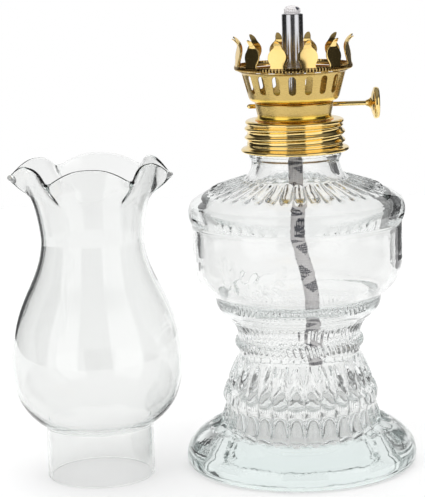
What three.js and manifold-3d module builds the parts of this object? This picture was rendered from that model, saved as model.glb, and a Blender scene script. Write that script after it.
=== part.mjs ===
// A small round-wick oil lamp: a pressed glass vessel, a brass screw-on burner with its wick and
// wick winder, and a blown glass chimney that stands on the table beside the lamp.
// Millimetres, +Z up. The origin is on the table, on the vessel's axis; +X is the knob's side.
import * as THREE from "three";
import { mergeVertices } from "three/addons/utils/BufferGeometryUtils.js";
import Module from "manifold-3d";

const wasm = await Module();
wasm.setup();

// Driving dimensions.
const FIT_GAP = 0.3; // between pieces that touch
const RUNNING_GAP = 0.08; // radial, between a turning shaft and its bearing
const GLASS_WALL = 2.6;
const SHEET = 0.5; // brass sheet

const FOOT_RADIUS = 40.9;
const FOOT_RECESS = 0.9;
const BAND_RADIUS = 27;
const WAIST_RADIUS = 21.6;
const WAIST_HEIGHT = 39.5;
const BEAD_RING_RADIUS = 28.8;
const FONT_RADIUS = 36.8;
const FONT_BULGE = 37.7;
const NECK_RADIUS = 14.9;
const MOUTH_RADIUS = 12.3;
const NECK_THREAD_RADIUS = 15.4;
const MOUTH_HEIGHT = 120.2;

const CAP_BOTTOM = 111.5;
const CAP_TOP = 122.5;
const CAP_CREST = 17.3;
const CAP_GROOVE = 16.4;
const CAP_FLANGE = 18.7;
const THREAD_PITCH = 3.2;

const CONE_FOOT = 12.7;
const CONE_HEAD = 13.8;
const GALLERY_BOTTOM = 128.9;
const GALLERY_RIM = 139.6;
const GALLERY_RIM_RADIUS = 18.9;
const SLOT_COUNT = 19;
const SLOT_WIDTH = 2.4;
const SLOT_HEIGHT = 6.4;
const SLOT_MIDDLE = 135.2;

const CROWN_RADIUS = 20.3;
const CROWN_BOTTOM = GALLERY_RIM + FIT_GAP;
const CROWN_TOP = 142.6;
const LEDGE_INNER = 17.4;
const PRONG_COUNT = 12;
const PRONG_HEAD_TOP = 149.3;
const PRONG_NIB_TOP = 151.4;
const PRONG_HEAD = 3.3; // radius
const FIRST_PRONG = 12; // degrees from +X

const TUBE_OUTER = 3.7;
const TUBE_INNER = 3.15;
const TUBE_BOTTOM = 115;
const TUBE_TOP = 158.7;
const WICK_RADIUS = 2.8;
const WICK_TOP = 161.6;
const TAIL_RADIUS = 2.5;

const SHAFT_RADIUS = 0.8;
const SHAFT_HEIGHT = 126.6;
const EYELET_WALL = 0.45;
const SPUR_RADIUS = 3;
const SPUR_VALLEY = 2.2;
const SPUR_WIDTH = 0.8;
const SPUR_APART = 2.2; // between the two wheels' middles
const SHAFT_OFFSET = WICK_RADIUS + 0.2 + SPUR_RADIUS; // behind the wick, along +Y
const SHAFT_LEFT = -16.2;
const EYELET_FROM = 11.2; // from the middle of the shaft
const EYELET_TO = 12.9;
const KNOB_DEPTH = 4.6;
const KNOB_FACE = 30;
const KNOB_RADIUS = 5.5;

const CHIMNEY_X = -71.2;
const CHIMNEY_Y = -9;
const CHIMNEY_WALL = 1.1;
const FITTER_RADIUS = 18.8;
const BULGE_RADIUS = 30.3;
const THROAT_RADIUS = 17.8;
const PINCH_COUNT = 6;
const PINCH_RADIUS = 28;
const PINCH_HEIGHT = 105;
const ARCH_RADIUS = 24.6;
const ARCH_HEIGHT = 111;
const FIRST_PINCH = -6; // degrees from +X

const RADIAN = Math.PI / 180;

const GLASS = { color: 0xdfeeea, roughness: 0.05, metalness: 0, transparent: true, opacity: 0.35 };
const CHIMNEY_GLASS = { color: 0xe8eceb, roughness: 0.03, metalness: 0, transparent: true, opacity: 0.3 };
const BRASS = { color: 0xe0b040, roughness: 0.22, metalness: 1 };
const STEEL = { color: 0xb9bcc0, roughness: 0.25, metalness: 1 };
const COTTON = { color: 0xf2efe6, roughness: 0.95, metalness: 0 };
const RUBBER = { color: 0x33302c, roughness: 0.8, metalness: 0 };

const lamp = new THREE.Group();

function add(name, geometry, finish) {
  const mesh = new THREE.Mesh(geometry, new THREE.MeshStandardMaterial(finish));
  mesh.name = name;
  lamp.add(mesh);
  return mesh;
}

// Turns an outline, given as radius and height, about the Z axis.
function turned(outline, sides) {
  const geometry = new THREE.LatheGeometry(outline.getPoints(3), sides);
  geometry.rotateX(Math.PI / 2);
  return geometry;
}

// A ring of rectangular section.
function ring(inner, outer, bottom, top, sides) {
  const outline = new THREE.Path();
  outline.moveTo(inner, bottom);
  outline.lineTo(outer, bottom);
  outline.lineTo(outer, top);
  outline.lineTo(inner, top);
  outline.lineTo(inner, bottom);
  return turned(outline, sides);
}

function solidOf(geometry) {
  const bare = geometry.index ? geometry.clone() : mergeVertices(geometry.clone());
  bare.deleteAttribute("normal");
  bare.deleteAttribute("uv");
  const merged = mergeVertices(bare, 1e-4);
  return new wasm.Manifold(new wasm.Mesh({
    numProp: 3,
    vertProperties: merged.attributes.position.array,
    triVerts: Uint32Array.from(merged.index.array),
  }));
}

function geometryOf(solid) {
  const mesh = solid.getMesh();
  const geometry = new THREE.BufferGeometry();
  geometry.setAttribute("position", new THREE.BufferAttribute(mesh.vertProperties, 3));
  geometry.setIndex(new THREE.BufferAttribute(mesh.triVerts, 1));
  return geometry;
}

// A round bar along X, its axis at the wick shaft.
function barAlongX(radius, from, to, sides) {
  const bar = new THREE.CylinderGeometry(radius, radius, to - from, sides);
  bar.rotateZ(Math.PI / 2);
  bar.translate((from + to) / 2, SHAFT_OFFSET, SHAFT_HEIGHT);
  return bar;
}

// A washer or bush on the wick shaft.
function bushAlongX(inner, outer, from, to, sides) {
  const bush = ring(inner, outer, from, to, sides);
  bush.rotateY(Math.PI / 2);
  bush.translate(0, SHAFT_OFFSET, SHAFT_HEIGHT);
  return bush;
}

// Glass vessel: foot, fluted pedestal, waist, bead ring, font, shoulder and neck in one hollow piece.
function glassVessel() {
  const outline = new THREE.Path();
  outline.moveTo(0, FOOT_RECESS);
  outline.lineTo(32, FOOT_RECESS);
  outline.lineTo(33, 0);
  outline.lineTo(39, 0);
  outline.quadraticCurveTo(FOOT_RADIUS, 0.6, FOOT_RADIUS, 3.4);
  outline.quadraticCurveTo(FOOT_RADIUS, 9, 28.9, 14.8);
  outline.lineTo(26.4, 22);
  outline.quadraticCurveTo(BAND_RADIUS + 1, 26.5, 25, 31.5);
  outline.quadraticCurveTo(24, 36, WAIST_RADIUS, WAIST_HEIGHT);
  outline.lineTo(22.4, 43.6);
  outline.lineTo(21.8, 47.2);
  outline.lineTo(23.4, 51);
  outline.quadraticCurveTo(BEAD_RING_RADIUS - 1.4, 53, BEAD_RING_RADIUS, 57.2);
  outline.lineTo(BEAD_RING_RADIUS, 60.2);
  outline.quadraticCurveTo(FONT_RADIUS, 63.8, FONT_RADIUS, 74);
  outline.lineTo(FONT_RADIUS, 86);
  outline.quadraticCurveTo(FONT_BULGE + 1.2, 91, 36.6, 94.6);
  outline.lineTo(27.6, 98.8);
  outline.quadraticCurveTo(NECK_RADIUS + 1, 102.6, NECK_RADIUS, 109);
  outline.lineTo(NECK_RADIUS, 113);
  outline.lineTo(NECK_THREAD_RADIUS, 114);
  outline.lineTo(NECK_RADIUS, 115);
  outline.lineTo(NECK_THREAD_RADIUS, 117.2);
  outline.lineTo(NECK_RADIUS, 118.2);
  outline.lineTo(NECK_RADIUS, MOUTH_HEIGHT);
  outline.lineTo(MOUTH_RADIUS, MOUTH_HEIGHT);
  outline.lineTo(MOUTH_RADIUS, 107);
  outline.quadraticCurveTo(13.6, 101.4, 24, 97.6);
  outline.quadraticCurveTo(FONT_RADIUS - GLASS_WALL, 94, FONT_RADIUS - GLASS_WALL, 86);
  outline.lineTo(FONT_RADIUS - GLASS_WALL, 74);
  outline.quadraticCurveTo(FONT_RADIUS - GLASS_WALL, 65.4, 26.4, 61.4);
  outline.quadraticCurveTo(20, 57, 19, 49);
  outline.lineTo(WAIST_RADIUS - GLASS_WALL, WAIST_HEIGHT);
  outline.quadraticCurveTo(20, 34, 22.8, 27);
  outline.lineTo(24.6, 13);
  outline.quadraticCurveTo(25.6, 7.4, 22, 6);
  outline.lineTo(0, 6);
  return turned(outline, 40);
}

// Screw cap: a thin brass cup, upside down, with a rolled thread and a wide bottom flange.
function screwCap() {
  const outline = new THREE.Path();
  outline.moveTo(CAP_GROOVE - SHEET, CAP_BOTTOM);
  outline.lineTo(CAP_FLANGE, CAP_BOTTOM);
  outline.lineTo(CAP_FLANGE, CAP_BOTTOM + 1.2);
  outline.lineTo(CAP_CREST, CAP_BOTTOM + 1.7);
  for (const turn of [0, 1]) {
    const crest = CAP_BOTTOM + 3.9 + turn * THREAD_PITCH;
    outline.lineTo(CAP_GROOVE, crest - THREAD_PITCH / 2);
    outline.lineTo(CAP_CREST, crest);
  }
  outline.lineTo(CAP_GROOVE, CAP_TOP - 1.9);
  outline.lineTo(17, CAP_TOP - 0.6);
  outline.lineTo(16.4, CAP_TOP);
  outline.lineTo(11, CAP_TOP);
  outline.lineTo(11, CAP_TOP - SHEET);
  outline.lineTo(CAP_GROOVE - SHEET, CAP_TOP - SHEET);
  outline.lineTo(CAP_GROOVE - SHEET, CAP_BOTTOM);
  return turned(outline, 40);
}

// Burner cone: a thin tapered drum on the cap, its head turned in under the gallery.
function burnerCone() {
  const headHole = 11.9;
  const bottom = CAP_TOP + FIT_GAP;
  const top = GALLERY_BOTTOM - FIT_GAP;
  const outline = new THREE.Path();
  outline.moveTo(CONE_FOOT - SHEET, bottom);
  outline.lineTo(CONE_FOOT + 1, bottom);
  outline.lineTo(CONE_FOOT, bottom + 0.9);
  outline.lineTo(CONE_HEAD, top - 0.6);
  outline.lineTo(CONE_HEAD - 0.6, top);
  outline.lineTo(headHole, top);
  outline.lineTo(headHole, top - SHEET);
  outline.lineTo(CONE_HEAD - SHEET - 0.5, top - SHEET - 0.3);
  outline.lineTo(CONE_FOOT - SHEET, bottom + 0.9);
  outline.lineTo(CONE_FOOT - SHEET, bottom);
  const drum = solidOf(turned(outline, 40));
  const hole = SHAFT_RADIUS + RUNNING_GAP + EYELET_WALL + RUNNING_GAP;
  return geometryOf(drum.subtract(solidOf(barAlongX(hole, -20, 20, 16))));
}

// Gallery: a thin basket that widens upwards, with one row of upright round-ended air slots.
// Its floor and the cone below it are open in the middle, for air.
function gallery() {
  const floorHole = 10.6;
  const wall = GALLERY_RIM_RADIUS - SHEET;
  const outline = new THREE.Path();
  outline.moveTo(floorHole, GALLERY_BOTTOM);
  outline.lineTo(14.2, GALLERY_BOTTOM);
  outline.quadraticCurveTo(15.6, GALLERY_BOTTOM + 0.2, 15.9, GALLERY_BOTTOM + 1.9);
  outline.lineTo(18.1, GALLERY_RIM - 0.8);
  outline.lineTo(GALLERY_RIM_RADIUS, GALLERY_RIM);
  outline.lineTo(wall, GALLERY_RIM);
  outline.lineTo(17.6, GALLERY_RIM - 0.8);
  outline.lineTo(15.4, GALLERY_BOTTOM + 1.9);
  outline.quadraticCurveTo(15.1, GALLERY_BOTTOM + SHEET + 0.1, 13.9, GALLERY_BOTTOM + SHEET);
  outline.lineTo(floorHole, GALLERY_BOTTOM + SHEET);
  outline.lineTo(floorHole, GALLERY_BOTTOM);
  let basket = solidOf(turned(outline, 2 * SLOT_COUNT));
  const half = SLOT_WIDTH / 2;
  const straight = SLOT_HEIGHT / 2 - half;
  const slotOutline = new THREE.Shape();
  slotOutline.absarc(0, straight, half, 0, Math.PI, false);
  slotOutline.absarc(0, -straight, half, Math.PI, 2 * Math.PI, false);
  for (let slot = 0; slot < SLOT_COUNT; slot += 1) {
    const punch = new THREE.ExtrudeGeometry(slotOutline, {
      depth: 6, bevelEnabled: false, curveSegments: 4,
    });
    punch.rotateX(Math.PI / 2);
    punch.translate(0, -14, SLOT_MIDDLE);
    punch.rotateZ((slot * 2 * Math.PI) / SLOT_COUNT);
    basket = basket.subtract(solidOf(punch));
  }
  return geometryOf(basket);
}

// Crown: a ledge that the chimney stands on, a ring, and twelve round-headed prongs that grip it.
function crown() {
  const ledge = solidOf(ring(LEDGE_INNER, CROWN_RADIUS, CROWN_BOTTOM, CROWN_BOTTOM + SHEET, 48));
  let whole = ledge.add(solidOf(ring(CROWN_RADIUS - 0.6, CROWN_RADIUS, CROWN_BOTTOM, CROWN_TOP, 48)));
  const headMiddle = PRONG_HEAD_TOP - PRONG_HEAD;
  const neckHalf = 1.7;
  const nibAngle = 0.25;
  const prongOutline = new THREE.Shape();
  prongOutline.moveTo(-2.2, CROWN_BOTTOM + 1);
  prongOutline.lineTo(2.2, CROWN_BOTTOM + 1);
  prongOutline.lineTo(neckHalf, headMiddle - PRONG_HEAD);
  prongOutline.absarc(0, headMiddle, PRONG_HEAD, -1.05, Math.PI / 2 - nibAngle, false);
  prongOutline.lineTo(0.3, PRONG_NIB_TOP);
  prongOutline.lineTo(-0.3, PRONG_NIB_TOP);
  prongOutline.absarc(0, headMiddle, PRONG_HEAD, Math.PI / 2 + nibAngle, Math.PI + 1.05, false);
  prongOutline.lineTo(-neckHalf, headMiddle - PRONG_HEAD);
  for (let prong = 0; prong < PRONG_COUNT; prong += 1) {
    const blade = new THREE.ExtrudeGeometry(prongOutline, {
      depth: SHEET, bevelEnabled: false, curveSegments: 4,
    });
    blade.rotateX(Math.PI / 2);
    blade.rotateZ(Math.PI / 2);
    blade.translate(CROWN_RADIUS - SHEET - 0.05, 0, 0);
    blade.rotateZ((FIRST_PRONG + (prong * 360) / PRONG_COUNT) * RADIAN);
    whole = whole.add(solidOf(blade));
  }
  return geometryOf(whole);
}

// Wick tube: bright steel, with a window at the back where the spur wheels reach the wick.
function wickTube() {
  const tube = solidOf(ring(TUBE_INNER, TUBE_OUTER, TUBE_BOTTOM, TUBE_TOP, 24));
  const window = new THREE.BoxGeometry(5, 4, 6.6);
  window.translate(0, TUBE_OUTER, SHAFT_HEIGHT);
  return geometryOf(tube.subtract(solidOf(window)));
}

// Spur wheel: a small star on the wick shaft; its points press into the wick.
function spurWheel(middle) {
  const teeth = 10;
  const bore = SHAFT_RADIUS + 0.05;
  const corners = [];
  for (let tooth = 0; tooth < teeth; tooth += 1) {
    const angle = (tooth * 2 * Math.PI) / teeth;
    const valley = angle + Math.PI / teeth;
    corners.push(new THREE.Vector2(SPUR_RADIUS * Math.cos(angle), SPUR_RADIUS * Math.sin(angle)));
    corners.push(new THREE.Vector2(SPUR_VALLEY * Math.cos(valley), SPUR_VALLEY * Math.sin(valley)));
  }
  const star = new THREE.Shape(corners);
  const hole = new THREE.Path();
  hole.absarc(0, 0, bore / Math.cos(Math.PI / 12), 0, 2 * Math.PI, true);
  star.holes.push(hole);
  const wheel = new THREE.ExtrudeGeometry(star, {
    depth: SPUR_WIDTH, bevelEnabled: false, curveSegments: 12,
  });
  wheel.translate(0, 0, -SPUR_WIDTH / 2);
  wheel.rotateY(Math.PI / 2);
  wheel.translate(middle, SHAFT_OFFSET, SHAFT_HEIGHT);
  return wheel;
}

// Knob: a dished disc with a rolled bead, on a hub that flares from the shaft.
function knob() {
  const outline = new THREE.Path();
  outline.moveTo(0, KNOB_FACE - KNOB_DEPTH);
  outline.lineTo(1.1, KNOB_FACE - KNOB_DEPTH);
  outline.quadraticCurveTo(1.3, KNOB_FACE - 2.7, 3.4, KNOB_FACE - 2.4);
  outline.quadraticCurveTo(KNOB_RADIUS + 0.1, KNOB_FACE - 2.2, KNOB_RADIUS, KNOB_FACE - 0.6);
  outline.quadraticCurveTo(5, KNOB_FACE + 0.2, 4.4, KNOB_FACE - 0.2);
  outline.quadraticCurveTo(4, KNOB_FACE - 1.4, 2.6, KNOB_FACE - 1.6);
  outline.lineTo(0, KNOB_FACE - 1.6);
  const disc = turned(outline, 24);
  disc.rotateY(Math.PI / 2);
  disc.translate(0, SHAFT_OFFSET, SHAFT_HEIGHT);
  return geometryOf(solidOf(disc));
}

// Wick: the part gripped in the tube, with a rounded top that stands proud of it.
function wick() {
  const outline = new THREE.Path();
  outline.moveTo(0, TUBE_BOTTOM);
  outline.lineTo(WICK_RADIUS, TUBE_BOTTOM);
  outline.lineTo(WICK_RADIUS, TUBE_TOP + 1);
  outline.quadraticCurveTo(WICK_RADIUS, WICK_TOP, 0, WICK_TOP);
  return turned(outline, 16);
}

// Wick tail: hangs from the tube through the font and ends in the pedestal, 84 mm long.
const TAIL_ROUTE = [
  [0, 0, 114.7], [0, 0, 110], [0, 0, 105], [0.05, 0, 100], [0.1, 0, 95], [0.2, 0, 90],
  [0.35, 0.1, 85], [0.7, 0.2, 80], [1.5, 0.3, 75], [2.7, 0.3, 70.5], [3.8, 0.2, 66], [4.5, 0, 61.5],
  [4.9, 0, 57], [5.1, -0.1, 52], [5.2, -0.1, 47], [5.3, 0, 42], [5.5, 0, 37], [5.9, 0, 32.4],
];

function wickTail() {
  const route = new THREE.CatmullRomCurve3(TAIL_ROUTE.map(([x, y, z]) => new THREE.Vector3(x, y, z)));
  const section = new THREE.Shape();
  section.absarc(0, 0, TAIL_RADIUS, 0, 2 * Math.PI, false);
  return new THREE.ExtrudeGeometry(section, { extrudePath: route, steps: 14, curveSegments: 10 });
}

// Chimney: fitter, bulge, throat and a rim pinched outwards and down at six places.
function chimney() {
  const outline = new THREE.Path();
  const inside = -CHIMNEY_WALL;
  outline.moveTo(FITTER_RADIUS + inside, 0);
  outline.lineTo(FITTER_RADIUS, 0);
  outline.lineTo(FITTER_RADIUS, 18.4);
  outline.quadraticCurveTo(24.6, 22.4, 27.4, 27.8);
  outline.quadraticCurveTo(BULGE_RADIUS + 1.6, 37, BULGE_RADIUS - 1, 50);
  outline.lineTo(24.7, 63.6);
  outline.quadraticCurveTo(THROAT_RADIUS - 0.6, 77, THROAT_RADIUS, 84);
  outline.quadraticCurveTo(19, 94, ARCH_RADIUS, ARCH_HEIGHT);
  outline.lineTo(ARCH_RADIUS + inside, ARCH_HEIGHT);
  outline.quadraticCurveTo(19 + inside, 94, THROAT_RADIUS + inside, 84);
  outline.quadraticCurveTo(THROAT_RADIUS - 0.6 + inside, 77, 24.7 + inside, 63.6);
  outline.lineTo(BULGE_RADIUS - 1 + inside, 50);
  outline.quadraticCurveTo(BULGE_RADIUS + 1.6 + inside, 37, 27.4 + inside, 27.8);
  outline.quadraticCurveTo(24.6 + inside, 22.4, FITTER_RADIUS + inside, 18.4);
  outline.lineTo(FITTER_RADIUS + inside, 0);
  const glass = turned(outline, 6 * PINCH_COUNT);
  glass.rotateZ(FIRST_PINCH * RADIAN);
  const points = glass.attributes.position;
  for (let index = 0; index < points.count; index += 1) {
    const x = points.getX(index);
    const y = points.getY(index);
    const z = points.getZ(index);
    const angle = Math.atan2(y, x) - FIRST_PINCH * RADIAN;
    const pinch = ((1 + Math.cos(PINCH_COUNT * angle)) / 2) ** 2;
    const flare = THREE.MathUtils.smoothstep(z, 91, ARCH_HEIGHT);
    const grow = 1 + ((PINCH_RADIUS / ARCH_RADIUS - 1) * pinch * flare);
    points.setXYZ(index, x * grow, y * grow, z - (ARCH_HEIGHT - PINCH_HEIGHT) * pinch * flare);
  }
  return geometryOf(solidOf(glass));
}

add("glass_vessel", glassVessel(), GLASS);

const washerBottom = MOUTH_HEIGHT + FIT_GAP;
const washerTop = CAP_TOP - SHEET - FIT_GAP;
add("sealing_washer", ring(MOUTH_RADIUS + 0.2, 15.3, washerBottom, washerTop, 32), RUBBER);

add("screw_cap", screwCap(), BRASS);
add("burner_cone", burnerCone(), BRASS);
add("gallery", gallery(), BRASS);
add("crown", crown(), BRASS);

const deckBottom = CAP_TOP + FIT_GAP;
const deckOuter = CONE_FOOT - SHEET - FIT_GAP;
add("tube_deck", ring(TUBE_OUTER + RUNNING_GAP, deckOuter, deckBottom, deckBottom + SHEET, 32), BRASS);
const collarTop = deckBottom - FIT_GAP;
add("tube_collar", ring(TUBE_OUTER + RUNNING_GAP, 5.2, collarTop - 2.4, collarTop, 24), BRASS);
add("wick_tube", wickTube(), STEEL);

const eyeletInner = SHAFT_RADIUS + RUNNING_GAP;
const eyeletOuter = eyeletInner + EYELET_WALL;
add("shaft_eyelet_left", bushAlongX(eyeletInner, eyeletOuter, -EYELET_TO, -EYELET_FROM, 16), BRASS);
add("shaft_eyelet_right", bushAlongX(eyeletInner, eyeletOuter, EYELET_FROM, EYELET_TO, 16), BRASS);
add("shaft_retainer", bushAlongX(SHAFT_RADIUS + 0.05, 1.4, 8.4, 9.2, 16), STEEL);
add("wick_shaft", barAlongX(SHAFT_RADIUS, SHAFT_LEFT, KNOB_FACE - KNOB_DEPTH - 0.05, 16), BRASS);
add("spur_wheel_left", spurWheel(-SPUR_APART / 2), STEEL);
add("spur_wheel_right", spurWheel(SPUR_APART / 2), STEEL);
add("knob", knob(), BRASS);

add("wick", wick(), COTTON);
add("wick_tail", wickTail(), COTTON);

const chimneyMesh = add("chimney", chimney(), CHIMNEY_GLASS);
chimneyMesh.position.set(CHIMNEY_X, CHIMNEY_Y, 0);

export default lamp;
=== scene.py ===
import math

import bpy
from mathutils import Matrix, Vector


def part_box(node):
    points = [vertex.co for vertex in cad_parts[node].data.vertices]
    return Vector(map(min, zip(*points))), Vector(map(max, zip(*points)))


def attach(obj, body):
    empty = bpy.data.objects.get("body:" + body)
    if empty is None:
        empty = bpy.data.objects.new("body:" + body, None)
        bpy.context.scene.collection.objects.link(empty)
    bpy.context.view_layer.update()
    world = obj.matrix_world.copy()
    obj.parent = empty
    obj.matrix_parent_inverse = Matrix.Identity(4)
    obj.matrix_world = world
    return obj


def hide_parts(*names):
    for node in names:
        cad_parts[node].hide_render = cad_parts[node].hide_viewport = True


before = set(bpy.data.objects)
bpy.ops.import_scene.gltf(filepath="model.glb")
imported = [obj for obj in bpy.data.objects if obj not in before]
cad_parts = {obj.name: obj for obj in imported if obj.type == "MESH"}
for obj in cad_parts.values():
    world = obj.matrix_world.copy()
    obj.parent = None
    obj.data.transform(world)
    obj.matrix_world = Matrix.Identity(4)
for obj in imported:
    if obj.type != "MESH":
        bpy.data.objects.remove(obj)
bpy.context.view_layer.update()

MM = 0.001
FULL_TURN = 2 * math.pi
SMOOTH = math.radians(38)
FLAG_FOOT = 0.03
FONT_RADIUS = 36.8
SPRIG_ANGLE = math.radians(-119)

# Where the chimney's rim is pinched, in degrees.
PINCHES = (-56, -4, 52, 118, 178, 242)

# Repeats round the vessel and the burner.
GLASS_STEPS = 300
FLUTES = 30
RIBS = 36
BEADS = 60
KNOCKS = 90
SLOTS = 19
PRONGS = 12
RIM_TEETH = 110


# ---------------------------------------------------------------- camera and studio

def place_camera():
    """A long lens in front of the lamp, looking a little down and held a little askew."""
    data = bpy.data.cameras.new("camera")
    data.lens = 134.15
    data.clip_start = 0.01
    camera = bpy.data.objects.new("camera", data)
    bpy.context.scene.collection.objects.link(camera)
    look_down = Matrix.Rotation(math.radians(90 - 10.35), 4, "X")
    askew = Matrix.Rotation(math.radians(-1.75), 4, "Z")
    camera.matrix_world = Matrix.Translation((-0.0298, -0.64, 0.1945)) @ look_down @ askew
    bpy.context.scene.camera = camera


def softbox(name, place, aim, width, height, power):
    """A soft oblong lamp, turned towards a point, that doesn't show in brass or glass."""
    data = bpy.data.lights.new(name, "AREA")
    data.shape = "RECTANGLE"
    data.size = width
    data.size_y = height
    data.energy = power
    lamp = bpy.data.objects.new(name, data)
    bpy.context.scene.collection.objects.link(lamp)
    lamp.location = place
    lamp.rotation_euler = (Vector(aim) - Vector(place)).to_track_quat("-Z", "Y").to_euler()
    lamp.visible_glossy = False
    lamp.visible_transmission = False


def place_studio():
    """A white floor, a room with two windows and a bright backdrop, softboxes, and dark flags.

    The room is plain white to the camera; its windows and dark sides show in brass and glass."""
    scene = bpy.context.scene
    scene.view_settings.view_transform = "Standard"
    scene.cycles.max_bounces = 28
    scene.cycles.transmission_bounces = 24
    scene.cycles.glossy_bounces = 10
    world = bpy.data.worlds.new("room")
    scene.world = world
    world.use_nodes = True
    room = Nodes(world.node_tree)
    direction = room.node("TexCoord", {}, {}, "Generated")
    x, y, z = [room.node("SeparateXYZ", {}, {0: direction}, letter) for letter in "XYZ"]
    # The cosine of the angle, seen from above, between a direction and the camera's side.
    front = 0 - y / ((x * x + y * y) ** 0.5 + 0.001)
    windows = front.within(0.34, 0.44) * (1 - front.within(0.905, 0.935))
    backdrop = (0 - front).within(0.70, 0.88)
    level = (1 - z.within(0.45, 0.7)) * (windows * 1.2 + backdrop * 0.82)
    seen = room.node("LightPath", {}, {}, "Is Camera Ray")
    through_glass = room.node("LightPath", {}, {}, "Is Transmission Ray")
    strength = level + 0.03 + through_glass * 0.2 + z.within(0.5, 0.9) * 0.25
    strength = strength * (1 - seen) + seen
    room.feed(world.node_tree.nodes["Background"].inputs["Color"], (1, 1, 1, 1))
    room.feed(world.node_tree.nodes["Background"].inputs["Strength"], strength)

    bpy.ops.object.select_all(action="DESELECT")
    bpy.ops.mesh.primitive_circle_add(
        vertices=96,
        radius=0.62,
        fill_type="NGON",
        location=(-0.02, 0, -0.0002),
    )
    floor = bpy.context.object
    floor.name = "floor"
    paint = Finish("white_floor")
    paint.set("Base Color", (0.93, 0.93, 0.93, 1))
    paint.set("Roughness", 0.8)
    paint.set("Specular IOR Level", 0.2)
    floor.data.materials.append(paint.material)

    cloth = Finish("flag_cloth")
    cloth.set("Base Color", (0.07, 0.07, 0.072, 1))
    cloth.set("Roughness", 0.9)
    flags = {
        # x, y, width, height
        "flag_back_right": (0.135, 0.17, 0.085, 0.17),
        "flag_back_left": (-0.182, 0.165, 0.085, 0.10),
        "flag_behind_camera": (0.02, -0.75, 0.24, 0.4),
    }
    for name, (x, y, width, height) in flags.items():
        bpy.ops.object.select_all(action="DESELECT")
        bpy.ops.mesh.primitive_plane_add(size=1, location=(x, y, FLAG_FOOT + height / 2))
        flag = bpy.context.object
        flag.name = name
        flag.dimensions = (width, height, 0)
        flag.rotation_euler = (math.pi / 2, 0, math.atan2(y, x) + math.pi / 2)
        flag.visible_camera = False
        flag.visible_diffuse = False
        flag.visible_shadow = False
        flag.data.materials.append(cloth.material)

    softbox("key_softbox", (-0.62, -0.72, 0.72), (0, 0, 0.1), 0.3, 0.45, 1.6)
    softbox("strip_right", (0.66, -0.62, 0.3), (0, 0, 0.1), 0.08, 0.5, 0.5)
    softbox("top_softbox", (-0.02, 0.2, 1.0), (-0.02, 0.2, 0), 2.2, 2.2, 21)


# ---------------------------------------------------------------- shader tools

class Value:
    """A socket in a finish. Arithmetic on it adds Math nodes."""

    def __init__(self, finish, socket):
        self.finish = finish
        self.socket = socket

    def maths(self, operation, *numbers):
        return self.finish.node("Math", {"operation": operation}, dict(enumerate(numbers)))

    def __add__(self, other):
        return self.maths("ADD", self, other)

    def __radd__(self, other):
        return self.maths("ADD", other, self)

    def __sub__(self, other):
        return self.maths("SUBTRACT", self, other)

    def __rsub__(self, other):
        return self.maths("SUBTRACT", other, self)

    def __mul__(self, other):
        return self.maths("MULTIPLY", self, other)

    def __rmul__(self, other):
        return self.maths("MULTIPLY", other, self)

    def __truediv__(self, other):
        return self.maths("DIVIDE", self, other)

    def __pow__(self, other):
        return self.maths("POWER", self, other)

    def sine(self):
        return self.maths("SINE", self)

    def angle_with(self, other):
        return self.maths("ARCTAN2", self, other)

    def within(self, low, high):
        """0 below low, 1 above high, and smooth between them."""
        settings = {"interpolation_type": "SMOOTHSTEP"}
        return self.finish.node("MapRange", settings, {"Value": self, "From Min": low, "From Max": high})


class Nodes:
    """A node tree that values are worked out in."""

    def __init__(self, tree):
        self.tree = tree

    def feed(self, socket, value):
        if isinstance(value, Value):
            self.tree.links.new(value.socket, socket)
        else:
            socket.default_value = value

    def node(self, kind, settings, inputs, output=0):
        """Adds a node: its settings are set first, then its sockets get values or links."""
        node = self.tree.nodes.new("ShaderNode" + kind)
        for name, value in settings.items():
            if name == "stops":
                ramp = node.color_ramp.elements
                while len(ramp) < len(value):
                    ramp.new(0.5)
                for stop, (position, colour) in zip(ramp, value):
                    stop.position = position
                    stop.color = colour
            else:
                setattr(node, name, value)
        for name, value in inputs.items():
            self.feed(node.inputs[name], value)
        return Value(self, node.outputs[output])


class Finish(Nodes):
    """A material for one finish, with its Principled shader."""

    def __init__(self, name):
        self.material = bpy.data.materials.new(name)
        self.material.use_nodes = True
        super().__init__(self.material.node_tree)
        self.shader = self.tree.nodes["Principled BSDF"]
        self.output = self.tree.nodes["Material Output"]

    def set(self, name, value):
        self.feed(self.shader.inputs[name], value)

    def place(self):
        """Object coordinates."""
        return self.node("TexCoord", {}, {}, "Object")

    def axes(self):
        place = self.place()
        return [self.node("SeparateXYZ", {}, {0: place}, letter) for letter in "XYZ"]

    def stretched(self, scale):
        return self.node("Mapping", {}, {"Vector": self.place(), "Scale": scale})

    def noise(self, scale, detail=3.0, place=None):
        inputs = {"Vector": place or self.place(), "Scale": scale, "Detail": detail}
        return self.node("TexNoise", {}, inputs, 0)

    def ramp(self, value, *stops):
        return self.node("ValToRGB", {"stops": stops}, {0: value})

    def mix(self, share, first, second):
        settings = {"data_type": "RGBA"}
        return self.node("Mix", settings, {0: share, 6: first, 7: second}, 2)

    def bump(self, height, strength, distance):
        inputs = {"Height": height, "Strength": strength, "Distance": distance}
        self.set("Normal", self.node("Bump", {}, inputs))


# ---------------------------------------------------------------- finishes

def pressed_glass():
    """Thick clear soda glass, faintly green inside, a little wavy from the mould."""
    glass = Finish("pressed_glass")
    glass.set("Base Color", (0.938, 0.940, 0.936, 1))
    glass.set("Transmission Weight", 1.0)
    glass.set("IOR", 1.5)
    glass.set("Roughness", glass.noise(90) * 0.02)
    waves = glass.noise(70, 1.0) + glass.noise(420, 2.0) * 0.12
    glass.bump(waves, 0.25, 0.0006)
    tint = glass.node("VolumeAbsorption", {}, {"Color": (0.64, 0.79, 0.77, 1), "Density": 7.0})
    glass.tree.links.new(tint.socket, glass.output.inputs["Volume"])
    return glass.material


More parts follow.
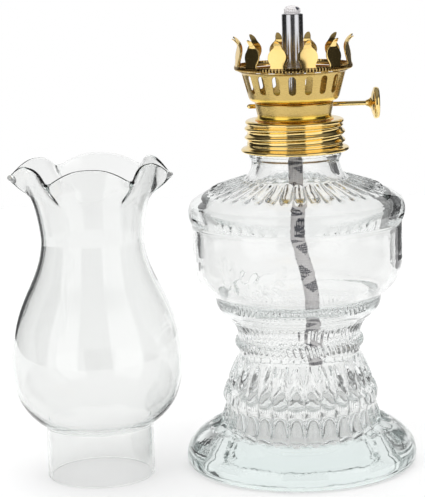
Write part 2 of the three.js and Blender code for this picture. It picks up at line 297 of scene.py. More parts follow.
def blown_glass():
    """Thin clear chimney glass with very soft, long waves."""
    glass = Finish("blown_glass")
    glass.set("Base Color", (0.925, 0.926, 0.922, 1))
    glass.set("Transmission Weight", 1.0)
    glass.set("IOR", 1.46)
    glass.set("Roughness", glass.noise(60) * 0.012)
    glass.bump(glass.noise(1.0, 1.0, glass.stretched((38, 38, 9))), 0.12, 0.0006)
    tint = glass.node("VolumeAbsorption", {}, {"Color": (0.70, 0.84, 0.81, 1), "Density": 30.0})
    glass.tree.links.new(tint.socket, glass.output.inputs["Volume"])
    return glass.material


def bright_brass():
    """Polished brass plate with faint rubbing marks and darker gold in places."""
    brass = Finish("bright_brass")
    patches = brass.noise(160, 4.0)
    brass.set("Base Color", brass.mix(patches, (0.92, 0.64, 0.20, 1), (0.99, 0.80, 0.40, 1)))
    brass.set("Metallic", 1.0)
    marks = brass.noise(1.0, 4.0, brass.stretched((900, 900, 3800)))
    brass.set("Roughness", 0.04 + patches * 0.05 + marks * 0.04)
    brass.bump(marks, 0.05, 0.0001)
    return brass.material


def knurled_brass():
    """Polished brass with painted shade on its knurled rim band, deepest in the grooves."""
    brass = Finish("knurled_brass")
    x, y, z = brass.axes()
    patches = brass.noise(160, 4.0)
    groove = (y.angle_with(x) * RIM_TEETH + math.pi / 2).sine().within(-0.1, 0.5)
    rim = ((x * x + y * y) ** 0.5).within(0.0192, 0.0195) * (1 - z.within(0.1414, 0.1417))
    plain = brass.mix(patches, (0.93, 0.62, 0.19, 1), (0.99, 0.76, 0.34, 1))
    # painted shade: the rim band below its top edge is darkened by half, and fully in the grooves
    painted_shade = (groove * 0.5 + 0.5) * rim
    brass.set("Base Color", brass.mix(painted_shade, plain, (0.08, 0.045, 0.015, 1)))
    brass.set("Metallic", 1.0)
    brass.set("Roughness", 0.09 + patches * 0.1)
    brass.bump(patches, 0.05, 0.0001)
    return brass.material


def satin_brass():
    """Brass sheet with a fine turned grain round the burner, and brighter, smoother gold in bands at its
    folds.
    """
    brass = Finish("satin_brass")
    x, y, z = brass.axes()
    reach = (x * x + y * y) ** 0.5
    across = brass.node("CombineXYZ", {}, {0: y.angle_with(x) * 6, 1: reach * 500, 2: z * 5200})
    grain = brass.noise(1.0, 5.0, across)
    patches = brass.noise(120, 3.0)
    sheet = brass.mix(grain * 0.6 + patches * 0.4, (0.51, 0.35, 0.10, 1), (0.75, 0.56, 0.22, 1))
    # brighter, smoother gold in a band at the cone's foot and in a band at the gallery's foot
    cone_foot = 1 - z.within(0.1240, 0.1250)
    gallery_foot = z.within(0.1283, 0.1289) * (1 - z.within(0.1299, 0.1307))
    bright_bands = cone_foot + gallery_foot
    brass.set("Base Color", brass.mix(bright_bands, sheet, (0.96, 0.66, 0.12, 1)))
    brass.set("Metallic", 1.0)
    brass.set("Roughness", 0.2 + grain * 0.16 - bright_bands * 0.08)
    brass.bump(grain, 0.12, 0.0001)
    return brass.material


def bright_steel():
    """Drawn steel tube: bright, with fine marks along its length."""
    steel = Finish("bright_steel")
    marks = steel.noise(1.0, 4.0, steel.stretched((4200, 4200, 60)))
    steel.set("Base Color", steel.mix(marks, (0.50, 0.50, 0.52, 1), (0.74, 0.74, 0.76, 1)))
    steel.set("Metallic", 1.0)
    steel.set("Roughness", 0.12 + marks * 0.12)
    steel.bump(marks, 0.06, 0.0001)
    return steel.material


def dark_rubber():
    rubber = Finish("dark_rubber")
    dust = rubber.noise(500, 4.0)
    rubber.set("Base Color", rubber.mix(dust, (0.03, 0.027, 0.024, 1), (0.07, 0.064, 0.058, 1)))
    rubber.set("Roughness", 0.6 + dust * 0.3)
    rubber.bump(dust, 0.2, 0.0002)
    return rubber.material


def woven_cotton():
    """White cotton braid with broken dark marker threads that wind round it."""
    cotton = Finish("woven_cotton")
    x, y, z = cotton.axes()
    drift = (0.088 - z) / 0.033
    middle = drift.within(0.0, 1.0) * 0.005
    turn = y.angle_with(x - middle)
    threads = ((turn * 12 + z * 3600).sine() * (turn * 12 - z * 3600).sine()) * 0.5 + 0.5
    winding = (turn + z * 430).sine()
    blocks = (z * 900 - turn).sine().within(-0.6, -0.4)
    broken = threads.within(0.30, 0.42)
    in_font = 1 - z.within(0.1195, 0.1200)
    marker = winding.within(-0.45, -0.2) * blocks * broken * in_font
    from_end = (x - 0.0021) ** 2 + (y + 0.0022) ** 2 + (z - 0.1609) ** 2
    marker_end = 1 - (from_end ** 0.5).within(0.0008, 0.0012)
    fibre = cotton.noise(3200, 4.0)
    plain = cotton.mix(threads * 0.6 + fibre * 0.4, (0.60, 0.57, 0.58, 1), (0.93, 0.91, 0.91, 1))
    cotton.set("Base Color", cotton.mix(marker + marker_end, plain, (0.03, 0.032, 0.05, 1)))
    cotton.set("Roughness", 0.85 + fibre * 0.12)
    cotton.set("Sheen Weight", 0.3)
    cotton.bump(threads + fibre * 0.5, 0.6, 0.0003)
    return cotton.material


# ---------------------------------------------------------------- modelling tools

class Outline:
    """Points of an outline in millimetres: distance from the axis, and height along it."""

    def __init__(self, radius, height, step=1.0):
        self.points = [(radius, height)]
        self.step = step

    def to(self, radius, height, step=None):
        first = self.points[-1]
        count = max(1, round(math.dist(first, (radius, height)) / (step or self.step)))
        for index in range(1, count + 1):
            share = index / count
            self.points.append((
                first[0] + (radius - first[0]) * share,
                first[1] + (height - first[1]) * share,
            ))
        return self

    def bend(self, corner_radius, corner_height, radius, height, step=None):
        first = self.points[-1]
        corner = (corner_radius, corner_height)
        length = math.dist(first, corner) + math.dist(corner, (radius, height))
        count = max(3, round(length / (step or self.step)))
        for index in range(1, count + 1):
            share = index / count
            weights = ((1 - share) ** 2, 2 * share * (1 - share), share ** 2)
            self.points.append(tuple(
                weights[0] * first[axis] + weights[1] * corner[axis] + weights[2] * (radius, height)[axis]
                for axis in (0, 1)
            ))
        return self


def pick(piece):
    """Makes a piece the only selected one, and the active one."""
    bpy.ops.object.select_all(action="DESELECT")
    piece.select_set(True)
    bpy.context.view_layer.objects.active = piece


def edit(piece):
    """Opens a piece in edit mode with all of it selected."""
    pick(piece)
    bpy.ops.object.mode_set(mode="EDIT")
    bpy.ops.mesh.select_all(action="SELECT")


def select_where(piece, chosen):
    """Opens a piece in edit mode with the vertices selected whose place is chosen."""
    edit(piece)
    bpy.ops.mesh.select_all(action="DESELECT")
    bpy.ops.object.mode_set(mode="OBJECT")
    for vertex in piece.data.vertices:
        vertex.select = chosen(vertex.co)
    bpy.ops.object.mode_set(mode="EDIT")


def finish_shape(piece, smooth=SMOOTH):
    """Merges doubles, points the faces outwards, and shades the piece."""
    edit(piece)
    bpy.ops.mesh.remove_doubles(threshold=1e-6)
    bpy.ops.mesh.normals_make_consistent(inside=False)
    bpy.ops.object.mode_set(mode="OBJECT")
    bpy.ops.object.shade_smooth_by_angle(angle=smooth)


def turned(name, outline, steps, centre, along="Z", smooth=SMOOTH):
    """Spins an outline about an axis through centre, along Z or X."""
    centre = Vector(centre)
    if along == "Z":
        axis = (0, 0, 1)
        corners = [centre + Vector((radius, 0, height)) * MM for radius, height in outline.points]
    else:
        axis = (1, 0, 0)
        corners = [centre + Vector((height, 0, radius)) * MM for radius, height in outline.points]
    bpy.ops.object.select_all(action="DESELECT")
    bpy.ops.mesh.primitive_plane_add(size=MM, location=corners[0])
    piece = bpy.context.object
    piece.name = name
    bpy.ops.object.transform_apply(location=True, rotation=True, scale=True)
    edit(piece)
    bpy.ops.mesh.merge(type="CENTER")
    for first, second in zip(corners, corners[1:]):
        bpy.ops.mesh.extrude_region_move(TRANSFORM_OT_translate={"value": second - first})
    bpy.ops.mesh.select_all(action="SELECT")
    bpy.ops.mesh.spin(steps=steps, angle=FULL_TURN, center=centre, axis=axis)
    bpy.ops.object.mode_set(mode="OBJECT")
    finish_shape(piece, smooth)
    return piece


def shape_of(piece):
    return [vertex.co.copy() for vertex in piece.data.vertices]


def raised(piece, height, share, direction="NORMAL", centre=(0, 0), shape=None):
    """Moves the surface by height (mm) times share(angle, radius, height in mm), from -1 to 1.

    The share is judged on the piece as it is, or on an earlier shape of it."""
    shares = []
    for place in shape or shape_of(piece):
        x = place.x - centre[0]
        y = place.y - centre[1]
        shares.append(share(math.atan2(y, x), math.hypot(x, y) / MM, place.z / MM))
    pick(piece)
    for sign in (1, -1):
        chosen = [index for index, value in enumerate(shares) if sign * value > 0.001]
        if not chosen:
            continue
        group = piece.vertex_groups.new(name="share")
        for index in chosen:
            group.add([index], min(1.0, sign * shares[index]), "REPLACE")
        press = piece.modifiers.new("press", "DISPLACE")
        press.strength = sign * height * MM
        press.mid_level = 0
        press.direction = direction
        press.vertex_group = group.name
        bpy.ops.object.modifier_apply(modifier=press.name)
        piece.vertex_groups.clear()


def cut(piece, cutter):
    """Cuts one piece out of another, and removes the cutter."""
    pick(piece)
    saw = piece.modifiers.new("saw", "BOOLEAN")
    saw.operation = "DIFFERENCE"
    saw.solver = "EXACT"
    saw.object = cutter
    bpy.ops.object.modifier_apply(modifier=saw.name)
    bpy.data.objects.remove(cutter, do_unlink=True)
    bpy.ops.object.shade_smooth_by_angle(angle=SMOOTH)


def joined(name, pieces):
    bpy.ops.object.select_all(action="DESELECT")
    for piece in pieces:
        piece.select_set(True)
    bpy.context.view_layer.objects.active = pieces[0]
    bpy.ops.object.join()
    whole = bpy.context.object
    whole.name = name
    return whole


def copies_round(piece, count, first_angle):
    """Copies a piece round the Z axis and joins the copies."""
    pieces = []
    for index in range(count):
        pick(piece)
        bpy.ops.object.duplicate()
        copy = bpy.context.object
        copy.rotation_euler = (0, 0, first_angle + index * FULL_TURN / count)
        bpy.ops.object.transform_apply(location=True, rotation=True, scale=True)
        pieces.append(copy)
    bpy.data.objects.remove(piece, do_unlink=True)
    return joined("copies", pieces)


def smoothstep(value, low, high):
    share = min(1.0, max(0.0, (value - low) / (high - low)))
    return share * share * (3 - 2 * share)


def phase(angle, count, start=0.0):
    """Where an angle falls within one of count equal repeats, from -0.5 to 0.5."""
    turns = (angle - start) / FULL_TURN * count
    return turns - math.floor(turns + 0.5)


def belongs(piece, body, slot, material, *nodes):
    """Gives a new piece its material and body, and hides the nodes that it stands for. Its slot argument is
    not used.
    """
    piece.data.materials.clear()
    piece.data.materials.append(material)
    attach(piece, body)
    if nodes:
        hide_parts(*nodes)


# ---------------------------------------------------------------- wick

def wick_tail_route():
    """The middle line of the wick below its tube, in metres."""
    route = [
        (0, 0, 114.7), (0, 0, 110), (0, 0, 105), (0.05, 0, 100), (0.1, 0, 95), (0.2, 0, 90),
        (0.35, 0.1, 85), (0.7, 0.2, 80), (1.5, 0.3, 75), (2.7, 0.3, 70.5), (3.8, 0.2, 66),
        (4.5, 0, 61.5), (4.9, 0, 57), (5.1, -0.1, 52), (5.2, -0.1, 47), (5.3, 0, 42),
        (5.5, 0, 37), (5.9, 0, 32.4),
    ]
    return [Vector(point) * MM for point in route]


def make_wick_tail(cotton):
    route = wick_tail_route()
    line = bpy.data.curves.new("wick_tail_braid", "CURVE")
    line.dimensions = "3D"
    line.bevel_depth = 0.0025
    line.bevel_resolution = 8
    line.resolution_u = 8
    line.use_fill_caps = True
    spline = line.splines.new("BEZIER")
    spline.bezier_points.add(len(route) - 1)
    for knot, place in zip(spline.bezier_points, route):
        knot.co = place
        knot.handle_left_type = "AUTO"
        knot.handle_right_type = "AUTO"
    tail = bpy.data.objects.new("wick_tail_braid", line)
    bpy.context.scene.collection.objects.link(tail)
    tail.data.materials.append(cotton)
    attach(tail, "wick")
    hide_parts("wick_tail")


def make_wick(cotton):
    """The wick in its tube, with a soft lumpy top above it."""
    low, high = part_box("wick")
    height = (high[2] - low[2]) / MM
    radius = (high[0] - low[0]) / 2 / MM
    outline = Outline(0, 0).to(radius, 0).to(radius, height - 3.0, 4)
    outline.bend(radius, height - 0.8, 1.7, height - 0.55, 0.2).bend(0.8, height - 0.3, 0, height - 0.4, 0.2)
    tuft = turned("wick_tuft", outline, 48, (0, 0, low[2]))

    def lump(angle, radius, z):
        return 0.5 + 0.5 * math.sin(angle * 7 + z * 3.1) * math.sin(angle * 3 - z * 4.7)

    raised(tuft, 0.35, lambda a, r, z: lump(a, r, z) * smoothstep(z, high[2] / MM - 3, high[2] / MM - 1.5))
    belongs(tuft, "wick", "cotton", cotton, "wick")


# ---------------------------------------------------------------- glass vessel

def vessel_outline():
    outer = Outline(0, 0.9, 1.2)
    outer.to(33, 0.9, 4).bend(33.2, 0, 34, 0, 0.38).to(38.6, 0, 1)
    outer.bend(40.8, 0.2, 40.9, 2.8, 0.62).bend(40.9, 6.4, 38.9, 8.6, 0.75)
    outer.bend(36.2, 12.2, 30.0, 14.8, 1).bend(28.9, 15.2, 28.4, 16.4, 0.5)
    outer.to(26.7, 21.6, 0.88).bend(26.6, 22.4, 27.2, 23.4, 0.44).bend(28.0, 25.6, 26.6, 28.4, 0.5)
    outer.bend(25.9, 29.4, 25.6, 30.4, 0.5).bend(24.4, 34.6, 21.9, 39.0, 0.69)
    outer.bend(21.2, 40.2, 21.6, 41.4, 0.5).bend(21.7, 42.7, 22.5, 42.9, 0.38)
    outer.bend(23.1, 44.2, 22.4, 45.5, 0.38).bend(21.6, 46.0, 21.6, 47.4, 0.5)
    outer.bend(22.0, 49.6, 23.2, 51.2, 0.62).bend(24.2, 52.3, 24.6, 53.0, 0.62)
    outer.bend(27.6, 55.0, 28.6, 57.4, 0.62).bend(29.3, 59.3, 28.9, 60.4, 0.5)
    outer.bend(29.0, 61.2, 30.6, 62.0, 0.62).bend(36.2, 65.4, 36.8, 74.0, 1.12)
    outer.to(36.8, 85.6, 0.88).bend(36.9, 86.8, 37.4, 87.8, 0.5).bend(38.6, 91.4, 36.9, 94.2, 0.75)
    outer.bend(34.6, 96.2, 30.4, 97.9, 0.75).to(19.2, 101.6, 0.69)
    outer.bend(16.0, 103.0, 15.3, 107.0, 0.88).bend(15.2, 108.4, 15.8, 109.2, 0.5)
    outer.bend(16.3, 110.0, 15.7, 110.9, 0.5).bend(14.9, 111.2, 14.9, 112.4, 0.62)
    outer.to(14.9, 119.4, 1.2).bend(14.9, 120.2, 14.2, 120.2, 0.5).to(13.0, 120.2, 1)
    outer.bend(12.3, 120.2, 12.3, 119.4, 0.5).to(12.3, 108, 2.2)
    outer.bend(12.6, 102.6, 17, 100.2, 1.6).to(24, 97.6, 2.4)
    outer.bend(34.2, 94, 34.2, 85, 2).to(34.2, 74, 3).bend(34.2, 65.8, 27, 61.8, 1.8)
    outer.bend(20.4, 57.6, 19, 49, 2).to(18.9, 40, 2.6).bend(19.6, 34, 22.6, 27, 2)
    outer.to(24.4, 13, 2.6).bend(25.4, 6.6, 21, 6, 1.4).to(0, 6, 6)
    return outer


def flute_share(angle, radius, z):
    """Grooves of the pedestal: rounded flutes below, scallops on the band, arched panels above."""
    across = phase(angle, FLUTES)
    if z < 12.5 or z > 39 or radius < 21 or radius > 31.5:
        return 0.0
    rounded = 1 - math.cos(math.pi * across)
    if z < 29:
        step = smoothstep(z, 20.0, 22.4) * (1 - smoothstep(z, 27, 29))
        return -rounded * smoothstep(z, 12.6, 14.4) * (1 - 0.55 * step)
    arch = 0.44 * math.sqrt(max(0.0, (38.6 - z) / 9.0)) + 1e-6
    panel = max(0.0, 1 - (across / min(0.46, arch)) ** 2)
    groove = smoothstep(z, 29, 30.6)
    return -(0.8 * panel * groove + rounded * (1 - groove))


def rib_share(angle, radius, z):
    """Raised ribs with round ends that lie along the shoulder."""
    if z < 95 or radius < 16 or radius > 33:
        return 0.0
    sideways = phase(angle, RIBS) * FULL_TURN * radius / RIBS
    beyond = max(0.0, 19.8 - radius, radius - 28.6)
    half_width = 1.05 + 0.06 * (radius - 19)
    away = math.hypot(sideways, beyond) / half_width
    return math.sqrt(1 - away * away) if away < 1 else 0.0


def sprig_share(angle, radius, z):
    """A small plain sprig of leaves in low relief on the font's wall."""
    if z < 62 or z > 86 or radius < 34.5:
        return 0.0
    sideways = ((angle - SPRIG_ANGLE + math.pi) % FULL_TURN - math.pi) * FONT_RADIUS
    upward = z - 74
    if abs(sideways) >= 13:
        return 0.0

    def stem_height(along):
        return 0.045 * along * along - 5.0

    best = 1 - ((upward - stem_height(sideways)) / 0.7) ** 2
    for spot in range(-3, 4):
        root = spot * 3.4
        upper_tilt = math.radians(60) - spot * 0.22
        lower_tilt = -0.55 * (math.radians(120) - spot * 0.22)
        for tilt, reach in ((upper_tilt, 3.1), (lower_tilt, 2.4)):
            dx = sideways - root - reach * math.cos(tilt)
            dz = upward - stem_height(root) - reach * math.sin(tilt)
            lengthwise = dx * math.cos(tilt) + dz * math.sin(tilt)
            crosswise = dz * math.cos(tilt) - dx * math.sin(tilt)
            best = max(best, 1 - (lengthwise / (reach * 0.95)) ** 2 - (crosswise / 1.15) ** 2)
    return math.sqrt(max(0.0, best))


def bead_share(angle, radius, z):
    """A rope of small beads round the waist."""
    if z < 41.6 or z > 46.6 or radius < 21:
        return 0.0
    fade = smoothstep(z, 41.6, 43) * (1 - smoothstep(z, 45.4, 46.6))
    return -(1 - abs(math.cos(math.pi * phase(angle, BEADS) + (z - 44) * 0.35))) * fade


def band_share(angle, radius, z):
    """Upright flutes on the tapering band above the waist, as many as there are beads."""
    if z < 47 or z > 53 or radius < 21.2:
        return 0.0
    fade = smoothstep(z, 47.2, 48.4) * (1 - smoothstep(z, 51.2, 52.8))
    return -(1 - math.cos(math.pi * phase(angle, BEADS, 0.5))) * fade


def stipple_share(angle, radius, z):
    """Small knocks in the ring that the foot stands on."""
    if z > 0.8 or radius < 33.4 or radius > 39.5:
        return 0.0
    fade = smoothstep(radius, 33.4, 34.4) * (1 - smoothstep(radius, 38, 39.5))
    return -(0.5 - 0.5 * math.cos(FULL_TURN * phase(angle, KNOCKS))) * fade


def make_vessel(glass):
    vessel = turned("vessel_glass", vessel_outline(), GLASS_STEPS, (0, 0, 0))
    raised(vessel, 1.5, flute_share)
    raised(vessel, 0.8, rib_share)
    raised(vessel, 0.5, sprig_share)
    raised(vessel, 0.9, bead_share)
    raised(vessel, 0.5, band_share)
    raised(vessel, 0.35, stipple_share)
    vessel.visible_shadow = False
    belongs(vessel, "vessel", "pressed_glass", glass, "glass_vessel")


# ---------------------------------------------------------------- chimney

def make_chimney(glass):
    low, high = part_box("chimney")
    centre = ((low[0] + high[0]) / 2, (low[1] + high[1]) / 2)
    wall = 1.1
    outline = Outline(18.8 - wall, 0.5, 1.6)
    outline.bend(18.8 - wall, 0, 18.2, 0, 0.3).bend(18.9, 0, 18.9, 0.7, 0.3)
    outline.to(18.8, 1.8, 0.6).to(18.8, 17.4).bend(18.8, 18.7, 19.8, 19.3, 0.5)
    outline.bend(24.8, 22.6, 27.4, 27.8).bend(31.7, 38, 29.0, 50.5).bend(27.1, 58.6, 22.6, 67.6)
    outline.bend(18.0, 76.4, 17.8, 84).bend(18.2, 95, 24.3, 110.4, 1.1)
    outline.bend(24.5, 111.1, 23.9, 111.1, 0.3).bend(23.3, 111, 23.2, 110.4, 0.3)
    outline.bend(18.2 - wall, 95, 17.8 - wall, 84, 1.1).bend(18.0 - wall, 76.4, 22.5 - wall, 67.2)
    outline.bend(27.0 - wall, 58.4, 29.0 - wall, 50.3).bend(31.7 - wall, 38, 27.5 - wall, 28.3)
    outline.bend(24.8 - wall, 23.2, 19.4 - wall, 20.1).bend(18.8 - wall, 19.6, 18.8 - wall, 18, 0.6)
    outline.to(18.8 - wall, 0.5)
    chimney = turned("chimney_glass", outline, 288, (centre[0], centre[1], 0))

    def nearness(angle):
        """1 at a pinch and 0 midway between two, rising in an arch."""
        turn = (math.degrees(angle) - PINCHES[0]) % 360 + PINCHES[0]
        for left, right in zip(PINCHES, PINCHES[1:] + (PINCHES[0] + 360,)):
            if left <= turn <= right:
                return abs(2 * (turn - left) / (right - left) - 1)

    def pinch(angle, z):
        return nearness(angle) ** 2.6 * smoothstep(z, 96, 111)

    def outward(angle, z):
        return pinch(angle, z) * 0.9 - 0.12 * smoothstep(z, 96, 111) * (1 - pinch(angle, z))

    def droplet(angle, radius, z):
        away = math.hypot((1 - nearness(angle)) * 14, z - 106)
        return math.exp(-(away / 1.1) ** 2) if z > 95 else 0.0

    blank = shape_of(chimney)
    for letter, turn in (("X", math.cos), ("Y", math.sin)):
        raised(chimney, 4.2, lambda a, r, z, turn=turn: outward(a, z) * turn(a), letter, centre, blank)
    raised(chimney, 5.0, lambda a, r, z: -pinch(a, z), "Z", centre, blank)
    raised(chimney, 0.7, droplet, "NORMAL", centre)
    finish_shape(chimney)
    chimney.visible_shadow = False
    belongs(chimney, "chimney", "blown_glass", glass, "chimney")


# ---------------------------------------------------------------- burner

def make_cap(brass):
    low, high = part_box("screw_cap")
    outline = Outline(15.9, 0, 0.8)
    outline.to(18.0, 0).bend(18.8, 0, 18.8, 0.6, 0.2).bend(18.7, 1.2, 17.8, 1.4, 0.2)
    outline.bend(16.9, 1.6, 16.6, 2.4, 0.2).to(16.5, 9.3, 0.16)
    outline.bend(16.5, 9.6, 16.9, 9.75, 0.15).bend(17.3, 10.2, 17.0, 10.6, 0.15).bend(16.7, 11, 16.0, 11, 0.2)
    outline.to(11, 11, 1.5).to(11, 10.5).to(15.4, 10.5, 1.5).bend(15.9, 10.5, 15.9, 9.9, 0.2).to(15.9, 0, 2)
    cap = turned("threaded_cap", outline, 180, (0, 0, low[2]))
    pitch = 3.1
    base = low[2] / MM

    def thread(angle, radius, z):
        if radius < 16.2:
            return 0.0
        along = phase(((z - base - 3.4) / pitch - angle / FULL_TURN) * FULL_TURN, 1)
        ends = smoothstep(z - base, 2.2, 3.4) * (1 - smoothstep(z - base, 8.6, 9.5))
        return (0.5 + 0.5 * math.cos(FULL_TURN * along)) ** 1.3 * ends

    raised(cap, 0.95, thread)
    belongs(cap, "burner", "brass", brass, "screw_cap")


def shaft_centre():
    low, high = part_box("wick_shaft")
    return (0, (low[1] + high[1]) / 2, (low[2] + high[2]) / 2)


def make_cone(brass):
    low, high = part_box("burner_cone")
    outline = Outline(12.2, 0, 0.7)
    outline.to(13.7, 0, 0.4).bend(12.9, 0.15, 12.8, 1.2, 0.15).to(13.6, 4.9, 0.4)
    outline.bend(13.8, 5.6, 13.1, 5.8, 0.15).to(11.9, 5.8).to(11.9, 5.3).bend(13.1, 5.3, 13.1, 4.8, 0.2)
    outline.to(12.3, 1.1).to(12.2, 0)
    cone = turned("burner_cone_sheet", outline, 144, (0, 0, low[2]))
    bore = Outline(0, -20).to(1.41, -20, 5).to(1.41, 20, 40).to(0, 20, 5)
    cut(cone, turned("bore", bore, 32, shaft_centre(), "X"))
    belongs(cone, "burner", "brass", brass, "burner_cone")


def make_gallery(brass):
    low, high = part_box("gallery")
    outline = Outline(10.6, 0, 0.8)
    outline.to(13.8, 0).bend(15.4, 0.1, 15.8, 1.8, 0.25).to(17.9, 9.6, 0.8)
    outline.bend(18.1, 10.3, 18.9, 10.5, 0.2).to(18.9, 10.7).to(18.4, 10.7).bend(17.7, 10.4, 17.5, 9.6, 0.2)
    outline.to(15.4, 1.9, 0.8).bend(15.1, 0.6, 13.8, 0.5, 0.25).to(10.6, 0.5).to(10.6, 0)
    gallery = turned("gallery_basket", outline, 152, (0, 0, low[2]))
    middle = low[2] + 6.4 * MM
    bpy.ops.object.select_all(action="DESELECT")
    bpy.ops.mesh.primitive_cylinder_add(vertices=24, radius=1.3 * MM, depth=6 * MM)
    punch = bpy.context.object
    select_where(punch, lambda place: place.y > -1e-6)
    bpy.ops.transform.translate(value=(0, 3.9 * MM, 0))
    bpy.ops.object.mode_set(mode="OBJECT")
    punch.rotation_euler = (math.pi / 2, 0, math.pi / 2)
    punch.location = (17 * MM, 0, middle - 1.95 * MM)
    bpy.ops.object.transform_apply(location=True, rotation=True, scale=True)
    finish_shape(punch)
    punches = copies_round(punch, SLOTS, math.radians(-94.3))
    cut(gallery, punches)
    belongs(gallery, "burner", "brass", brass, "gallery")


def prong():
    """One spade-shaped prong at the +X side of the crown: a neck, a cupped head and a curled nib."""
    low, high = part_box("crown")
    base = low[2] / MM
    profile = [
        # height above the crown's foot, half width, distance from the axis
        (0.9, 3.3, 20.15), (1.4, 2.85, 20.15), (1.9, 2.55, 20.1), (2.5, 2.5, 20.0), (3.1, 2.75, 19.9),
        (3.7, 3.1, 19.8), (4.3, 3.35, 19.7), (4.9, 3.5, 19.55), (5.5, 3.5, 19.45), (6.1, 3.4, 19.35),
        (6.7, 3.15, 19.25), (7.3, 2.75, 19.2), (7.9, 2.2, 19.15), (8.4, 1.65, 19.2), (8.9, 1.3, 19.35),
        (9.4, 1.2, 19.65), (9.9, 1.15, 20.05), (10.4, 0.95, 20.5), (10.8, 0.65, 21.0), (11.05, 0.35, 21.4),
    ]
    height, half_width, distance = profile[0]
    bpy.ops.object.select_all(action="DESELECT")
    bpy.ops.mesh.primitive_grid_add(
        x_subdivisions=1,
        y_subdivisions=8,
        size=2 * half_width * MM,
        location=((distance + half_width) * MM, 0, (base + height) * MM),
    )
    blade = bpy.context.object
    blade.name = "prong"
    bpy.ops.object.transform_apply(location=True, rotation=True, scale=True)
    select_where(blade, lambda place: place.x > (distance + half_width) * MM)
    bpy.ops.mesh.delete(type="VERT")
    bpy.ops.mesh.select_all(action="SELECT")
    for last, row in zip(profile, profile[1:]):
        move = Vector((row[2] - last[2], 0, row[0] - last[0])) * MM
        bpy.ops.mesh.extrude_region_move(TRANSFORM_OT_translate={"value": move})
        bpy.ops.transform.resize(value=(1, row[1] / last[1], 1), center_override=(0, 0, 0))
    bpy.ops.object.mode_set(mode="OBJECT")

    def cupped(angle, radius, z):
        across = radius * math.sin(angle)
        head = smoothstep(z - base, 3.0, 5.4) * (1 - smoothstep(z - base, 7.8, 9.1))
        return 0.018 * across ** 2 * head - across ** 2 / 42

    raised(blade, 1.0, cupped, "X")
    pick(blade)
    thick = blade.modifiers.new("sheet", "SOLIDIFY")
    thick.thickness = 0.42 * MM
    thick.offset = 0
    bpy.ops.object.modifier_apply(modifier=thick.name)
    round_off = blade.modifiers.new("edge", "BEVEL")
    round_off.width = 0.1 * MM
    round_off.segments = 2
    round_off.limit_method = "ANGLE"
    bpy.ops.object.modifier_apply(modifier=round_off.name)
    finish_shape(blade)
    return blade


def make_crown(brass):
    low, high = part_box("crown")
    outline = Outline(17.4, 0, 0.6)
    outline.to(20.0, 0).bend(20.5, 0.1, 20.5, 0.8, 0.2).bend(20.5, 1.6, 20.1, 1.7, 0.2).to(19.6, 1.7)
    outline.bend(19.5, 0.6, 19.0, 0.5, 0.2).to(17.4, 0.5).to(17.4, 0)
    ring = turned("crown_ring", outline, RIM_TEETH * 6, (0, 0, low[2]))

    def tooth(angle, radius, z):
        if radius < 19.9:
            return 0.0
        return -(1 - smoothstep(abs(phase(angle, RIM_TEETH)), 0.18, 0.34))

    raised(ring, 0.7, tooth)
    prongs = copies_round(prong(), PRONGS, math.radians(12))
    crown = joined("crown_ring", [ring, prongs])
    bpy.ops.object.shade_smooth_by_angle(angle=SMOOTH)
    belongs(crown, "burner", "brass", brass, "crown")


def make_tube(steel):
    low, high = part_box("wick_tube")
    height = (high[2] - low[2]) / MM
    outline = Outline(3.15, 0.1, 4)
    outline.bend(3.15, 0, 3.4, 0, 0.2).bend(3.7, 0, 3.7, 0.3, 0.2).to(3.7, height - 0.4)
    outline.bend(3.7, height, 3.45, height, 0.1).bend(3.15, height, 3.15, height - 0.35, 0.1).to(3.15, 0.1)
    tube = turned("wick_tube_steel", outline, 96, (0, 0, low[2]))
    middle = shaft_centre()[2]
    bpy.ops.object.select_all(action="DESELECT")
    bpy.ops.mesh.primitive_cube_add(size=1, location=(0, 0.0037, middle), scale=(0.005, 0.004, 0.0066))
    window = bpy.context.object
    bpy.ops.object.transform_apply(location=True, rotation=True, scale=True)
    cut(tube, window)
    belongs(tube, "burner", "steel", steel, "wick_tube")


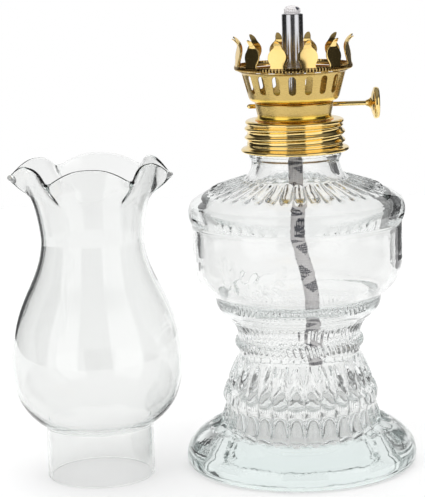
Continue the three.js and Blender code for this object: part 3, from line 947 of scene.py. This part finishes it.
def make_winder(brass):
    """The wick shaft with its nub, and the dished knob with a rolled edge."""
    low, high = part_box("wick_shaft")
    centre = shaft_centre()
    left = low[0] / MM
    right = high[0] / MM
    outline = Outline(0, left, 0.5)
    outline.bend(0.5, left, 0.75, left + 0.6, 0.15).bend(0.9, left + 1.1, 0.8, left + 1.8, 0.15)
    outline.to(0.8, right, 6).to(0, right)
    shaft = turned("winder_shaft", outline, 40, centre, "X")
    belongs(shaft, "winder", "brass", brass, "wick_shaft")

    low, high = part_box("knob")
    face = high[0] / MM
    outline = Outline(0, face - 4.6, 0.5)
    outline.to(1.0, face - 4.6).bend(1.35, face - 3.2, 2.4, face - 2.7, 0.2)
    outline.bend(3.9, face - 2.5, 4.6, face - 2.0, 0.25)
    outline.bend(5.55, face - 2.0, 5.55, face - 1.1, 0.18).bend(5.5, face - 0.1, 4.9, face, 0.18)
    outline.bend(4.35, face, 4.3, face - 0.7, 0.15).bend(4.2, face - 1.3, 3.2, face - 1.5, 0.25)
    outline.to(1.5, face - 1.6, 0.5).bend(1.2, face - 1.2, 0, face - 1.1, 0.25)
    knob = turned("winder_knob", outline, 72, centre, "X")
    belongs(knob, "winder", "brass", brass, "knob")


def dress_hidden_parts(finishes):
    """Better finishes for the small inner parts whose shapes stay as they are."""
    for node, material in finishes.items():
        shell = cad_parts[node]
        shell.data.materials.clear()
        shell.data.materials.append(material)


place_camera()
cotton = woven_cotton()
make_wick_tail(cotton)
place_studio()

clear_pressed = pressed_glass()
clear_blown = blown_glass()
polished = bright_brass()
satin = satin_brass()
steel = bright_steel()

make_wick(cotton)
make_vessel(clear_pressed)
make_chimney(clear_blown)
make_cap(polished)
make_cone(satin)
make_gallery(satin)
make_crown(knurled_brass())
make_tube(steel)
make_winder(polished)
dress_hidden_parts({
    "sealing_washer": dark_rubber(),
    "tube_deck": satin,
    "tube_collar": satin,
    "shaft_eyelet_left": polished,
    "shaft_eyelet_right": polished,
    "shaft_retainer": steel,
    "spur_wheel_left": steel,
    "spur_wheel_right": steel,
})
